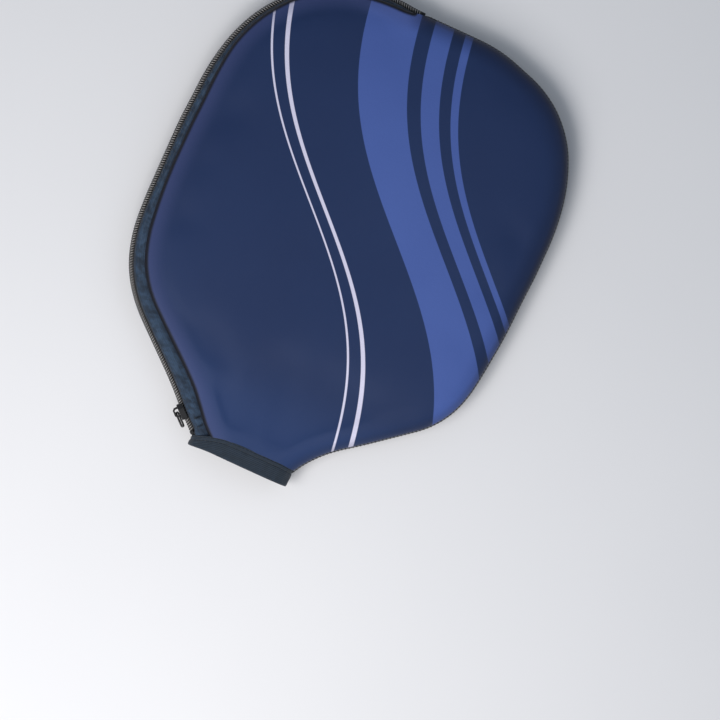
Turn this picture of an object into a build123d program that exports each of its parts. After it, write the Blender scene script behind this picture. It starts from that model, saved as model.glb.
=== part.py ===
from build123d import *
import math
import os

# ---------------------------------------------------------------------------
# Zip-round paddle head cover: a flat, padded neoprene pouch for a court paddle.
# It lies on its back. +Z is up through its thickness, +Y points from the throat
# (where the paddle's handle comes out) to the crown, +X is to the right.
# Everything is drawn in a frame whose origin is the middle of the throat edge,
# and is moved to the middle of the footprint when it is written.
# All lengths are millimetres.
# ---------------------------------------------------------------------------

# Overall placing
CENTRE_X = -5.465           # footprint's middle, seen from the throat
CENTRE_Y = 139.375

# Heights
Z_MID = 12.0                # the zip and the side seam run at this height
Z_TOP = 25.0                # outer face of the front panel
NEOPRENE = 3.0              # panel thickness
Z_RIM = 20.3                # where the zip tape meets the front panel's edge
Z_BEND = 16.8               # the zip tape stands upright up to here, then leans in
ROUND_IN = 11.0             # the front panel's flat top begins this far in
RIM_IN = 6.0                # how far in from the mid-height outline the rims lie
BACK_IN = 8.0               # back panel's lower edge

# Zip
ZIP_GAP = 0.5               # half the gap between the two tape edges
TAPE = 1.2                  # tape thickness, upright part
TAPE_LEAN = 1.6             # tape thickness measured level, leaning part
COIL_OUT = 3.6              # coil's outer face, out from the tape's inner face
COIL_W = 2.5                # width of one coil row
COIL_START = 1.0            # along the straight flank, from its throat corner
STOP_T = 2.2                # length of a metal stop

# Throat band
BAND_LEN = 8.5
BAND = 1.8

# Zip slider and its pull
SLIDER_AT = 13.4            # along the flank, closed almost to the throat
SLIDER_L = 10.0
SLIDER_W = 9.0
PLATE = 1.1
PULL_L = 9.0
PULL_W = 4.8
WIRE = 0.6                  # radius
PULL_LEAN = 20.0            # the loose pull leans in its bail, degrees

# Fold line of the front leaf, from the throat's right corner to the zip's top end
FOLD_A = (22.0, 0.0)
FOLD_B = (-14.0, 283.3)

# Mid-height outline, anticlockwise: vertex and corner radius (negative: hollow)
THROAT_Y = 0.0
OUTLINE = [
    ((-35.625, 0.0), 0.0),          # throat, zip side
    ((26.645, 0.0), 0.0),           # throat, seam side
    ((35.66, 17.09), -77.3),
    ((103.05, 69.33), 55.8),
    ((108.60, 127.85), 203.6),
    ((108.10, 216.66), 117.0),
    ((87.31, 267.71), 63.5),
    ((34.50, 283.30), 85.3),
    ((-35.40, 283.30), 86.6),
    ((-78.52, 274.65), 73.5),
    ((-117.40, 221.33), 104.1),
    ((-117.00, 111.29), 215.3),
    ((-115.17, 71.37), 78.6),
]


# ---------------------------------------------------------------------------
# Outline helpers
# ---------------------------------------------------------------------------
def corners(out, throat=0.0):
    """The outline moved out by `out`, its throat edge by `throat`: (vertex, radius) pairs."""
    n = len(OUTLINE)
    lines = []
    for i in range(n):
        (ax, ay), _ = OUTLINE[i]
        (bx, by), _ = OUTLINE[(i + 1) % n]
        length = math.hypot(bx - ax, by - ay)
        tx, ty = (bx - ax) / length, (by - ay) / length
        d = throat if i == 0 else out
        lines.append((ax + ty * d, ay - tx * d, tx, ty))
    result = []
    for i in range(n):
        ax, ay, tx, ty = lines[i - 1]
        bx, by, ux, uy = lines[i]
        cross = tx * uy - ty * ux
        s = ((bx - ax) * uy - (by - ay) * ux) / cross
        r = OUTLINE[i][1]
        if r > 0:
            r = r + out
        elif r < 0:
            r = -(-r - out)
        result.append(((ax + tx * s, ay + ty * s), r))
    return result


def outline_wire(out, z, throat=0.0):
    pts = corners(out, throat)
    n = len(pts)
    ends = []
    for i in range(n):
        (px, py), r = pts[i]
        (ax, ay), _ = pts[i - 1]
        (bx, by), _ = pts[(i + 1) % n]
        la, lb = math.hypot(px - ax, py - ay), math.hypot(bx - px, by - py)
        tx, ty = (px - ax) / la, (py - ay) / la
        ux, uy = (bx - px) / lb, (by - py) / lb
        if r == 0:
            ends.append(((px, py), None, (px, py)))
            continue
        side = 1.0 if r > 0 else -1.0
        turn = math.acos(max(-1.0, min(1.0, tx * ux + ty * uy)))
        back = abs(r) * math.tan(turn / 2)
        start = (px - tx * back, py - ty * back)
        end = (px + ux * back, py + uy * back)
        cx, cy = start[0] - ty * side * abs(r), start[1] + tx * side * abs(r)
        mx, my = px - cx, py - cy
        m = math.hypot(mx, my)
        mid = (cx + mx / m * abs(r), cy + my / m * abs(r))
        ends.append((start, mid, end))
    edges = []
    for i in range(n):
        start, mid, end = ends[i]
        if mid is not None:
            edges.append(Edge.make_three_point_arc((*start, z), (*mid, z), (*end, z)))
        nxt = ends[(i + 1) % n][0]
        edges.append(Edge.make_line((*end, z), (*nxt, z)))
    return Wire(edges)


def between(out_a, z_a, out_b, z_b, throat=0.0):
    """A solid between the outline at two heights, its sides straight from one to the other."""
    return Solid.make_loft(
        [outline_wire(out_a, z_a, throat), outline_wire(out_b, z_b, throat)], ruled=True
    )


def prism(points, z_a, z_b):
    face = Face(Wire.make_polygon([(x, y, z_a) for x, y in points], close=True))
    return Solid.extrude(face, Vector(0, 0, z_b - z_a))


def ring(out_in, out_out, z_a, z_b, throat_out=0.0):
    """An upright wall that follows the outline, open at the throat."""
    return between(out_out, z_a, out_out, z_b, throat_out) - between(
        out_in, z_a - 1, out_in, z_b + 1, throat_out + 3
    )


# ---------------------------------------------------------------------------
# Directions on the straight flank, where the slider runs
# ---------------------------------------------------------------------------
FLANK_0 = Vector(*OUTLINE[0][0], 0)
_v = Vector(*OUTLINE[-1][0], 0) - FLANK_0
ALONG = _v.normalized()                      # towards the crown
OUT = Vector(-ALONG.Y, ALONG.X, 0)           # out of the case
UP = Vector(0, 0, 1)


def flank(s, o, z):
    p = FLANK_0 + ALONG * s + OUT * o
    return Vector(p.X, p.Y, z)


def flank_block(s0, s1, o0, o1, z0, z1):
    pts = [flank(s0, o0, 0), flank(s1, o0, 0), flank(s1, o1, 0), flank(s0, o1, 0)]
    return prism([(p.X, p.Y) for p in pts], z0, z1)


# Half-spaces each side of the fold line
fold = Vector(FOLD_B[0] - FOLD_A[0], FOLD_B[1] - FOLD_A[1], 0).normalized()
lo = Vector(*FOLD_A, 0) - fold * 80
hi = Vector(*FOLD_B, 0) + fold * 80
leaf_side = prism([(lo.X, lo.Y), (hi.X, hi.Y), (-260, hi.Y), (-260, lo.Y)], -5, 40)
seam_side = prism([(lo.X, lo.Y), (260, lo.Y), (260, hi.Y), (hi.X, hi.Y)], -5, 40)

parts = {}

# ---------------------------------------------------------------------------
# Neoprene panels
# ---------------------------------------------------------------------------
# Front: a shallow dish, with a side wall down to the seam on the seam side only
dish = between(-RIM_IN, Z_RIM, -ROUND_IN, Z_TOP) - between(
    -RIM_IN - NEOPRENE, Z_RIM, -ROUND_IN - 2.0, Z_TOP - NEOPRENE, 3.0
)
wall_front = between(0, Z_MID, -RIM_IN, Z_RIM) - between(
    -NEOPRENE, Z_MID, -RIM_IN - NEOPRENE, Z_RIM, 3.0
)
by_throat = prism([(8, -20), (60, -20), (60, 60), (8, 60)], -5, 40)
wall_front = (wall_front & seam_side) + (wall_front & leaf_side & by_throat)
front_panel = dish + wall_front
front_flap = front_panel & leaf_side
front_fixed = front_panel & seam_side

# Back: a flat plate on the ground, with a side wall up to the seam
base = between(-BACK_IN, 0, -RIM_IN, NEOPRENE)
wall_back = between(-RIM_IN, NEOPRENE, 0, Z_MID) - between(
    -RIM_IN - NEOPRENE, NEOPRENE, -NEOPRENE, Z_MID, 3.0
)
wall_back = wall_back & seam_side
back_panel = base + wall_back

parts["front_panel_flap"] = front_flap
parts["front_panel_fixed"] = front_fixed
parts["back_panel"] = back_panel

# Overlocked binding over the raw edges of the side seam
bind_region = prism([(-10.5, 250), (-10.5, 320), (260, 320), (260, 1.5), (20, 1.5), (20, 250)], -5, 40)
binding = (ring(-2.0, 1.4, Z_MID - 1.1, Z_MID + 1.1) & bind_region) - wall_front - wall_back
parts["side_seam_binding"] = binding

# ---------------------------------------------------------------------------
# Zip: two tapes and two coils, from the throat up the flank and over the crown
# ---------------------------------------------------------------------------
below = Z_MID - (Z_BEND - Z_MID)
z_rim_back = NEOPRENE

tape_front = ring(0, TAPE, Z_MID + ZIP_GAP, Z_BEND) + (
    between(TAPE, Z_BEND, -RIM_IN, Z_RIM)
    - between(TAPE - TAPE_LEAN, Z_BEND, -RIM_IN - TAPE_LEAN, Z_RIM, 3.0)
)
tape_back = ring(0, TAPE, below, Z_MID - ZIP_GAP) + (
    between(-RIM_IN, z_rim_back, TAPE, below)
    - between(-RIM_IN - TAPE_LEAN, z_rim_back, TAPE - TAPE_LEAN, below, 3.0)
)
zip_side = leaf_side & prism([(-12, -20), (-12, 420), (-260, 420), (-260, -20)], -5, 40)
parts["front_zip_tape"] = tape_front & zip_side
parts["back_zip_tape"] = tape_back & zip_side

# Only what lies past the first tooth, square to the flank
s0 = flank(COIL_START, 0, 0)
a = s0 + OUT * 60
b = s0 - OUT * 300
past_first_tooth = prism(
    [(a.X, a.Y), (b.X, b.Y), (b.X, b.Y + 600), (a.X - 300, a.Y + 600), (a.X - 300, a.Y)], -5, 40
)
coil = ring(TAPE, COIL_OUT, Z_MID + ZIP_GAP, Z_MID + ZIP_GAP + COIL_W, 9.0)
parts["front_zip_coil"] = coil & leaf_side & past_first_tooth
coil = ring(TAPE, COIL_OUT, Z_MID - ZIP_GAP - COIL_W, Z_MID - ZIP_GAP, 9.0)
parts["back_zip_coil"] = coil & leaf_side & past_first_tooth

# Metal stops: one on each row at the throat, one across both rows at the crown
lip = 0.35
for name, z0, z1 in (
    ("zip_throat_stop_front", Z_MID + 0.3, Z_MID + ZIP_GAP + COIL_W + lip),
    ("zip_throat_stop_back", Z_MID - ZIP_GAP - COIL_W - lip, Z_MID - 0.3),
):
    stop = flank_block(COIL_START - 0.3 - STOP_T, COIL_START - 0.3, 1.5, 4.0, z0, z1)
    parts[name] = stop.fillet(0.4, stop.edges())

end_stop = Solid.make_box(2.4, 3.7, 6.8, Plane(origin=(-13.4, 283.3 + 0.25, Z_MID - 3.4)))
end_stop = end_stop.fillet(0.5, end_stop.edges())
parts["zip_crown_stop"] = end_stop

# Bias binding inside, over the raw edges where the tapes are sewn on
left_of_end = prism([(-16.5, 150), (-16.5, 320), (-260, 320), (-260, 9.0), (-10.0, 9.0), (-10.0, 150)], -5, 40)
parts["inner_binding_front"] = (
    ring(-RIM_IN - 3.4, -RIM_IN - TAPE_LEAN, Z_RIM - 1.4, Z_RIM) & leaf_side & left_of_end
)
parts["inner_binding_back"] = (
    ring(-RIM_IN - 3.4, -RIM_IN - TAPE_LEAN, NEOPRENE, NEOPRENE + 1.4) & leaf_side & left_of_end
)

# ---------------------------------------------------------------------------
# Elastic band round the throat, open with the zip at its left corner
# ---------------------------------------------------------------------------
BAND_OUTER = [
    (-34.9, Z_MID), (-32.6, 18.0), (-25.0, 22.6), (-18.0, 24.4), (12.0, 24.4),
    (18.5, 22.4), (24.6, 17.6), (26.6, Z_MID), (24.8, 6.0), (19.0, 0.0), (-26.0, 0.0), (-32.8, 6.2),
]


def shrink(points, d):
    """The closed polygon (clockwise) with each side moved in by d."""
    n = len(points)
    rows = []
    for i in range(n):
        (ax, ay), (bx, by) = points[i], points[(i + 1) % n]
        length = math.hypot(bx - ax, by - ay)
        tx, ty = (bx - ax) / length, (by - ay) / length
        rows.append((ax + ty * d, ay - tx * d, tx, ty))
    out = []
    for i in range(n):
        ax, ay, tx, ty = rows[i - 1]
        bx, by, ux, uy = rows[i]
        s = ((bx - ax) * uy - (by - ay) * ux) / (tx * uy - ty * ux)
        out.append((ax + tx * s, ay + ty * s))
    return out


def throat_prism(points, y0, y1):
    face = Face(Wire.make_polygon([(x, y0, z) for x, z in points], close=True))
    return Solid.extrude(face, Vector(0, y1 - y0, 0))


band = throat_prism(BAND_OUTER, 0, -BAND_LEN) - throat_prism(shrink(BAND_OUTER, BAND), 2, -BAND_LEN - 2)
upper = Solid.make_box(200, 40, 40, Plane(origin=(-100, -20, Z_MID + 0.4)))
lower_left = Solid.make_box(200, 40, 40, Plane(origin=(-100, -20, Z_MID - 0.4 - 40)))
parts["throat_band_front"] = band & upper & leaf_side
parts["throat_band_back"] = (band & seam_side) + (band & lower_left & leaf_side)

# ---------------------------------------------------------------------------
# Slider: two plates round both rows, a thin neck between them, and a bail
# ---------------------------------------------------------------------------
slider_plane = Plane(origin=flank(SLIDER_AT, 0, Z_MID), x_dir=ALONG, z_dir=OUT)
half_l, half_w = SLIDER_L / 2, SLIDER_W / 2
inner_top = -0.4
outer_bottom = COIL_OUT + 0.3
outer_top = outer_bottom + PLATE

plate_shape = [
    (-half_l, -half_w + 0.5), (-half_l + 1.2, -half_w), (half_l - 3.4, -half_w),
    (half_l - 0.6, -half_w + 0.7), (half_l, -half_w + 1.6),
    (half_l, half_w - 1.6), (half_l - 0.6, half_w - 0.7), (half_l - 3.4, half_w),
    (-half_l + 1.2, half_w), (-half_l, half_w - 0.5),
]


def local_prism(points, z_a, z_b):
    face = Face(Wire.make_polygon([(x, y, z_a) for x, y in points], close=True))
    return Solid.extrude(face, Vector(0, 0, z_b - z_a))


outer_plate = local_prism(plate_shape, outer_bottom - 2.3, outer_top)
channel = Solid.make_box(30, 2 * (half_w - 1.0), 2.3, Plane(origin=(-15, -half_w + 1.0, outer_bottom - 2.3)))
outer_plate = outer_plate - channel
crest = outer_plate.edges().filter_by(lambda e: abs(e.center().Z - outer_top) < 1e-3)
outer_plate = outer_plate.fillet(0.35, crest)
inner_plate = local_prism(plate_shape, inner_top - PLATE, inner_top)
lowest = inner_plate.edges().filter_by(lambda e: abs(e.center().Z - (inner_top - PLATE)) < 1e-3)
inner_plate = inner_plate.fillet(0.35, lowest)
neck = Solid.make_box(2.8, 0.8, outer_bottom - inner_top + 0.4, Plane(origin=(-half_l + 0.5, -0.4, inner_top - 0.2)))

# The bail: a bridge along the slider, with room under it for the leaning pull
BAIL_W = 1.9
BAIL_HOLE = 2.55
bail_outer = Wire.make_polygon(
    [(-2.6, -BAIL_W / 2, outer_top - 0.2), (-2.2, -BAIL_W / 2, outer_top + BAIL_HOLE),
     (-1.2, -BAIL_W / 2, outer_top + BAIL_HOLE + 0.9), (2.4, -BAIL_W / 2, outer_top + BAIL_HOLE + 0.9),
     (3.6, -BAIL_W / 2, outer_top + BAIL_HOLE - 0.1), (4.0, -BAIL_W / 2, outer_top - 0.2)], close=True)
bail = Solid.extrude(Face(bail_outer), Vector(0, BAIL_W, 0))
bail_hole = Wire.make_polygon(
    [(-1.3, -3, outer_top), (-1.3, -3, outer_top + BAIL_HOLE - 0.5), (-0.8, -3, outer_top + BAIL_HOLE),
     (1.9, -3, outer_top + BAIL_HOLE), (2.5, -3, outer_top + BAIL_HOLE - 0.6), (2.5, -3, outer_top)], close=True)
bail = bail - Solid.extrude(Face(bail_hole), Vector(0, 6, 0))
slider = outer_plate + inner_plate + neck + bail
parts["slider_body"] = slider_plane * slider

# The pull: a closed loop of wire, loose in the bail
PIN_X = 0.6
PIN_OUT = outer_top + 1.60
lean = math.radians(PULL_LEAN)
pin = flank(SLIDER_AT + PIN_X, PIN_OUT, Z_MID)
pull_axis = (OUT * math.sin(lean) - UP * math.cos(lean)).normalized()
pull_plane = Plane(origin=pin, x_dir=ALONG, z_dir=ALONG.cross(pull_axis))
r_c = 1.3
loop_path = Wire(
    [
        Edge.make_line((0, -PULL_W / 2 + r_c, 0), (0, PULL_W / 2 - r_c, 0)),
        Edge.make_three_point_arc(
            (0, PULL_W / 2 - r_c, 0),
            (-r_c + r_c * math.sqrt(0.5), PULL_W / 2 - r_c + r_c * math.sqrt(0.5), 0),
            (-r_c, PULL_W / 2, 0)),
        Edge.make_line((-r_c, PULL_W / 2, 0), (-PULL_L + r_c, PULL_W / 2, 0)),
        Edge.make_three_point_arc(
            (-PULL_L + r_c, PULL_W / 2, 0),
            (-PULL_L + r_c - r_c * math.sqrt(0.5), PULL_W / 2 - r_c + r_c * math.sqrt(0.5), 0),
            (-PULL_L, PULL_W / 2 - r_c, 0)),
        Edge.make_line((-PULL_L, PULL_W / 2 - r_c, 0), (-PULL_L, -PULL_W / 2 + r_c, 0)),
        Edge.make_three_point_arc(
            (-PULL_L, -PULL_W / 2 + r_c, 0),
            (-PULL_L + r_c - r_c * math.sqrt(0.5), -PULL_W / 2 + r_c - r_c * math.sqrt(0.5), 0),
            (-PULL_L + r_c, -PULL_W / 2, 0)),
        Edge.make_line((-PULL_L + r_c, -PULL_W / 2, 0), (-r_c, -PULL_W / 2, 0)),
        Edge.make_three_point_arc(
            (-r_c, -PULL_W / 2, 0),
            (-r_c + r_c * math.sqrt(0.5), -PULL_W / 2 + r_c - r_c * math.sqrt(0.5), 0),
            (0, -PULL_W / 2 + r_c, 0)),
    ]
)
profile = Plane(origin=(0, 0, 0), x_dir=(1, 0, 0), z_dir=(0, 1, 0))
loop = sweep(profile * Circle(WIRE), path=loop_path)
parts["pull_loop"] = pull_plane * loop

# ---------------------------------------------------------------------------
# Write one STEP per piece
# ---------------------------------------------------------------------------
os.makedirs("parts", exist_ok=True)
shift = Location((-CENTRE_X, -CENTRE_Y, 0))
low = [1e9] * 3
high = [-1e9] * 3
for name, shape in parts.items():
    solids = [s for s in shape.solids() if s.volume > 0.05]
    moved = [s.moved(shift) for s in solids]
    piece = moved[0] if len(moved) == 1 else Compound(children=moved)
    piece.label = name
    export_step(piece, f"parts/{name}.step")
    box = piece.bounding_box()
    for i, (p, q) in enumerate(zip((box.min.X, box.min.Y, box.min.Z), (box.max.X, box.max.Y, box.max.Z))):
        low[i], high[i] = min(low[i], p), max(high[i], q)
    print(f"{name:24s} solids {len(moved)} volume {sum(s.volume for s in moved):10.1f}")
print("box", [round(v, 2) for v in low], [round(v, 2) for v in high])
print("fold axis from", tuple(round(v, 3) for v in (FOLD_A[0] - CENTRE_X, FOLD_A[1] - CENTRE_Y)),
      "direction", tuple(round(v, 5) for v in (fold.X, fold.Y)))
c = flank(SLIDER_AT, 0, Z_MID)
print("slider at", round(c.X - CENTRE_X, 3), round(c.Y - CENTRE_Y, 3), c.Z, "along", round(ALONG.X, 5), round(ALONG.Y, 5))
print("pull pin", round(pin.X - CENTRE_X, 3), round(pin.Y - CENTRE_Y, 3), round(pin.Z, 3),
      "axis", round(pull_axis.X, 5), round(pull_axis.Y, 5), round(pull_axis.Z, 5))
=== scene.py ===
import math

import bmesh
import bpy
import numpy as np
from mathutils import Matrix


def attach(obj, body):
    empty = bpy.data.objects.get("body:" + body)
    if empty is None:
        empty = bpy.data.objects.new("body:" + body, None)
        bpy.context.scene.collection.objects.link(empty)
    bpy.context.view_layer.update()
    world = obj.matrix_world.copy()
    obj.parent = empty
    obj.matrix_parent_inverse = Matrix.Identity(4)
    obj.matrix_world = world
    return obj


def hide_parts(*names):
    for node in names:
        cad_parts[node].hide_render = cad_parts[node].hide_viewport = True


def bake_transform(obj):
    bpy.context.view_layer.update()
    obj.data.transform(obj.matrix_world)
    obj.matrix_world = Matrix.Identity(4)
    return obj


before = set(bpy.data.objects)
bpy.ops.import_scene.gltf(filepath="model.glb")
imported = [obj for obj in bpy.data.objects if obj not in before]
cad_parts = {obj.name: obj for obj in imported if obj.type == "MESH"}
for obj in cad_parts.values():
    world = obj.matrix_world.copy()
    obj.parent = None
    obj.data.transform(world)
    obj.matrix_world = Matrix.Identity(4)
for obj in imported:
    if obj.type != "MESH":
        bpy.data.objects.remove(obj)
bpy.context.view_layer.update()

# ---------------------------------------------------------------------------
# Millimetres in the throat frame: x right, y up to the crown, z through the
# thickness. W() puts them in the row frame, in metres.
# ---------------------------------------------------------------------------
CENTRE_X, CENTRE_Y = -5.465, 139.375
Z_MID = 12.0
OUTLINE = [
    ((-35.625, 0.0), 0.0), ((26.645, 0.0), 0.0), ((35.66, 17.09), -77.3), ((103.05, 69.33), 55.8),
    ((108.60, 127.85), 203.6), ((108.10, 216.66), 117.0), ((87.31, 267.71), 63.5), ((34.50, 283.30), 85.3),
    ((-35.40, 283.30), 86.6), ((-78.52, 274.65), 73.5), ((-117.40, 221.33), 104.1), ((-117.00, 111.29), 215.3),
    ((-115.17, 71.37), 78.6),
]
ZIP_END_X = -14.0


def W(p):
    p = np.asarray(p, float)
    return np.stack([(p[..., 0] - CENTRE_X) / 1000, (p[..., 1] - CENTRE_Y) / 1000, p[..., 2] / 1000], -1)


def smooth(a, b, x):
    t = np.clip((np.asarray(x, float) - a) / (b - a), 0, 1)
    return t * t * (3 - 2 * t)


# ---------------------------------------------------------------------------
# The outline as two dense paths, each from the throat up to the zip's crown end
# ---------------------------------------------------------------------------
def dense_outline(step=0.4):
    n = len(OUTLINE)
    ends = []
    for i in range(n):
        p, r = np.array(OUTLINE[i][0]), OUTLINE[i][1]
        a, b = np.array(OUTLINE[i - 1][0]), np.array(OUTLINE[(i + 1) % n][0])
        t, u = (p - a) / np.linalg.norm(p - a), (b - p) / np.linalg.norm(b - p)
        if r == 0:
            ends.append((p, None, p))
            continue
        side = math.copysign(1.0, r)
        R = abs(r)
        turn = math.acos(np.clip(t @ u, -1, 1))
        back = R * math.tan(turn / 2)
        s, e = p - t * back, p + u * back
        c = s + np.array([-t[1], t[0]]) * side * R
        ends.append((s, (c, R, turn * side), e))
    pts, nrm = [], []
    for i in range(n):
        s, arc, e = ends[i]
        if arc is not None:
            c, R, turn = arc
            k = max(2, int(abs(turn) * R / step))
            v = s - c
            for j in range(k):
                a = turn * j / k
                w = np.array([v[0] * math.cos(a) - v[1] * math.sin(a), v[0] * math.sin(a) + v[1] * math.cos(a)])
                pts.append(c + w)
                nrm.append(w / R * math.copysign(1.0, turn))
        nxt = ends[(i + 1) % n][0]
        d = nxt - e
        length = np.linalg.norm(d)
        k = max(1, int(length / step))
        for j in range(k):
            pts.append(e + d * j / k)
            nrm.append(np.array([d[1], -d[0]]) / length)
    return np.array(pts), np.array(nrm)


class Path:
    """A line in the plane with its outward normal, by arc length. It runs on straight past its throat end."""

    def __init__(self, p, n):
        t0 = (p[0] - p[1]) / np.linalg.norm(p[0] - p[1])
        p = np.vstack([p[0] + t0 * 20, p])
        n = np.vstack([n[0], n])
        self.s = np.concatenate([[0], np.cumsum(np.linalg.norm(np.diff(p, axis=0), axis=1))]) - 20
        self.p, self.n, self.end = p, n, self.s[-1]

    def at(self, s, out=0.0):
        s = np.asarray(s, float)
        x, y = np.interp(s, self.s, self.p[:, 0]), np.interp(s, self.s, self.p[:, 1])
        nx, ny = np.interp(s, self.s, self.n[:, 0]), np.interp(s, self.s, self.n[:, 1])
        m = np.hypot(nx, ny)
        return np.stack([x + nx / m * out, y + ny / m * out], -1)

    def normal(self, s):
        n = np.stack([np.interp(s, self.s, self.n[:, 0]), np.interp(s, self.s, self.n[:, 1])], -1)
        return n / np.linalg.norm(n, axis=-1, keepdims=True)


_p, _n = dense_outline()
_right0 = int(np.argmin(np.linalg.norm(_p - np.array(OUTLINE[1][0]), axis=1)))
_top = [i for i in range(len(_p)) if abs(_p[i, 1] - 283.3) < 1e-6]
_split = min(_top, key=lambda i: abs(_p[i, 0] - ZIP_END_X))
RIGHT = Path(_p[_right0 : _split + 1], _n[_right0 : _split + 1])
LEFT = Path(np.vstack([_p[_split:], _p[:1]])[::-1], np.vstack([_n[_split:], _n[-1:]])[::-1])
ALONG = np.array([-0.74432, 0.66782])
OUTW = np.array([-0.66782, -0.74432])
SLIDER_AT = 13.4


def knots(table, x, soft=5.0):
    """A rounded line through a table of (x, value)."""
    t = np.array(table, float)
    fine = np.arange(t[0, 0] - 4 * soft, t[-1, 0] + 4 * soft, 0.5)
    v = np.interp(fine, t[:, 0], t[:, 1])
    k = np.exp(-(np.arange(-40, 41) * 0.5 / soft) ** 2)
    v = np.convolve(np.pad(v, 40, "edge"), k / k.sum(), "valid")
    return np.interp(x, fine, v)


# the sewn fabric wanders a little either side of its cut line
def wander(path, table):
    path.p = path.p + path.n * knots(table, path.s)[:, None]


wander(LEFT, [(-20, 0), (14, 0), (23, -0.7), (36, -0.9), (52, -0.5), (66, -0.1), (80, 0.1), (92, 0.5), (105, 0.9), (122, 0.7), (135, 0.7), (150, 1.2),
              (172, 1.5), (195, 1.7), (206, 1.2), (218, 0.5), (232, 0.2), (245, 0.5), (258, 1.1), (272, 1.5), (290, 1.4), (320, 0.5), (350, -0.3), (372, -0.6), (385, -0.6)])
wander(RIGHT, [(-20, 0), (8, 0), (30, 0.7), (48, 0.9), (64, 0.6), (80, 0.2), (100, -0.2), (118, -0.6), (132, -0.1), (165, 0.1), (182, 0.6), (200, 1.5),
               (222, 1.6), (236, 0.9), (260, 0.5), (276, 0.0), (292, -0.8), (318, -1.2), (345, -0.8), (375, -0.5), (402, -0.6), (410, -0.6)])

# where the front panel's zip-side edge lies, from the zip's own line
RIM_TABLE = [(-20, -6.4), (-4, -5.7), (2, -5.9), (12, -7.2), (22, -7.8), (45, -7.4), (60, -7.1), (75, -6.8), (90, -6.4), (105, -6.2), (120, -5.8), (135, -5.2),
             (150, -4.3), (160, -3.7), (172, -3.4), (195, -3.6), (210, -3.4), (225, -3.0), (240, -2.1), (250, -1.3), (262, -0.9), (277, -0.5), (300, -0.5),
             (325, -1.0), (345, -1.7), (357, -2.4), (366, -2.8), (373, -1.9), (380, -0.2), (385, 0.0)]


RIM_BACK = [(-20, -6.4), (350, -6.4), (360, -5.4), (368, -3.6), (375, -1.6), (380, -0.2), (385, 0.0)]


def rim_at(s, table=None):
    return knots(table or RIM_TABLE, s, 3.0)


def throat_edge(x):
    """How far up the throat's upper edge lies at each x: it bows up and drops at its zip end."""
    return knots([(-50, -4.9), (-38, -4.9), (-33, -3.0), (-28, -1.0), (-22, 1.1), (-16.5, 2.2), (-8, 2.6), (0, 2.8), (10, 3.0), (20, 3.0), (25, 2.5), (29, 1.9), (45, 1.8)], x, 2.0)


def throat_foot(x):
    return knots([(-50, -10.2), (-36, -10.0), (-30, -9.2), (-23, -8.6), (45, -8.5)], x, 2.0)


def dive(s):
    """The zip's own line runs in to the seam at its crown end."""
    return -2.5 * smooth(338, 379, s)


# ---------------------------------------------------------------------------
# Mesh helpers
# ---------------------------------------------------------------------------
def new_object(name, verts, faces, mats, index=None, smooth_angle=50.0, attrs=None):
    mesh = bpy.data.meshes.new(name)
    verts = np.asarray(verts, float)
    mesh.from_pydata(verts.tolist(), [], [list(map(int, f)) for f in faces])
    for m in mats if isinstance(mats, (list, tuple)) else [mats]:
        mesh.materials.append(m)
    if index is not None:
        mesh.polygons.foreach_set("material_index", np.asarray(index, np.int32))
    for key, data in (attrs or {}).items():
        a = mesh.attributes.new(key, "FLOAT_VECTOR", "POINT")
        a.data.foreach_set("vector", np.asarray(data, np.float32).ravel())
    mesh.validate()
    mesh.update()
    mesh.shade_smooth()
    if smooth_angle is not None:
        mesh.set_sharp_from_angle(angle=math.radians(smooth_angle))
    ob = bpy.data.objects.new(name, mesh)
    bpy.context.scene.collection.objects.link(ob)
    return ob


def grid_faces(nu, nv, base=0, flip=False, wrap_u=False, wrap_v=False):
    """Faces of a grid of nu columns by nv rows, vertex (i, j) at base + j * nu + i."""
    iu = np.arange(nu if wrap_u else nu - 1)
    jv = np.arange(nv if wrap_v else nv - 1)
    i, j = np.meshgrid(iu, jv)
    i, j = i.ravel(), j.ravel()
    i2, j2 = (i + 1) % nu, (j + 1) % nv
    f = np.stack([j * nu + i, j * nu + i2, j2 * nu + i2, j2 * nu + i], -1) + base
    return f[:, ::-1] if flip else f


def slab(top, under):
    """A closed thick sheet from two grids of points of shape (nv, nu, 3): vertices, faces and the face groups 0 top, 1 under, 2 edge."""
    nv, nu = top.shape[:2]
    n = nu * nv
    verts = np.vstack([top.reshape(-1, 3), under.reshape(-1, 3)])
    a = grid_faces(nu, nv)
    b = grid_faces(nu, nv, n, True)
    edge = []
    ring = [j * nu for j in range(nv - 1, 0, -1)] + list(range(nu)) + [j * nu + nu - 1 for j in range(1, nv)]
    ring += [(nv - 1) * nu + i for i in range(nu - 2, 0, -1)]
    for k in range(len(ring)):
        p, q = ring[k], ring[(k + 1) % len(ring)]
        edge.append([q, p, p + n, q + n])
    edge = np.array(edge)
    faces = np.vstack([a, b, edge])
    index = np.concatenate([np.zeros(len(a)), np.ones(len(b)), np.full(len(edge), 2)])
    return verts, faces, index


def frames_along(p, closed=False):
    """Tangents and two normals carried along a line without twist."""
    if closed:
        t = np.roll(p, -1, 0) - np.roll(p, 1, 0)
    else:
        t = np.gradient(p, axis=0)
    t /= np.linalg.norm(t, axis=1, keepdims=True)
    a = np.cross(t[0], [0, 0, 1.0])
    if np.linalg.norm(a) < 0.2:
        a = np.cross(t[0], [0, 1.0, 0])
    a /= np.linalg.norm(a)
    A = [a]
    for i in range(1, len(p)):
        a = A[-1] - t[i] * (A[-1] @ t[i])
        A.append(a / np.linalg.norm(a))
    A = np.array(A)
    return t, A, np.cross(t, A)


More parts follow.
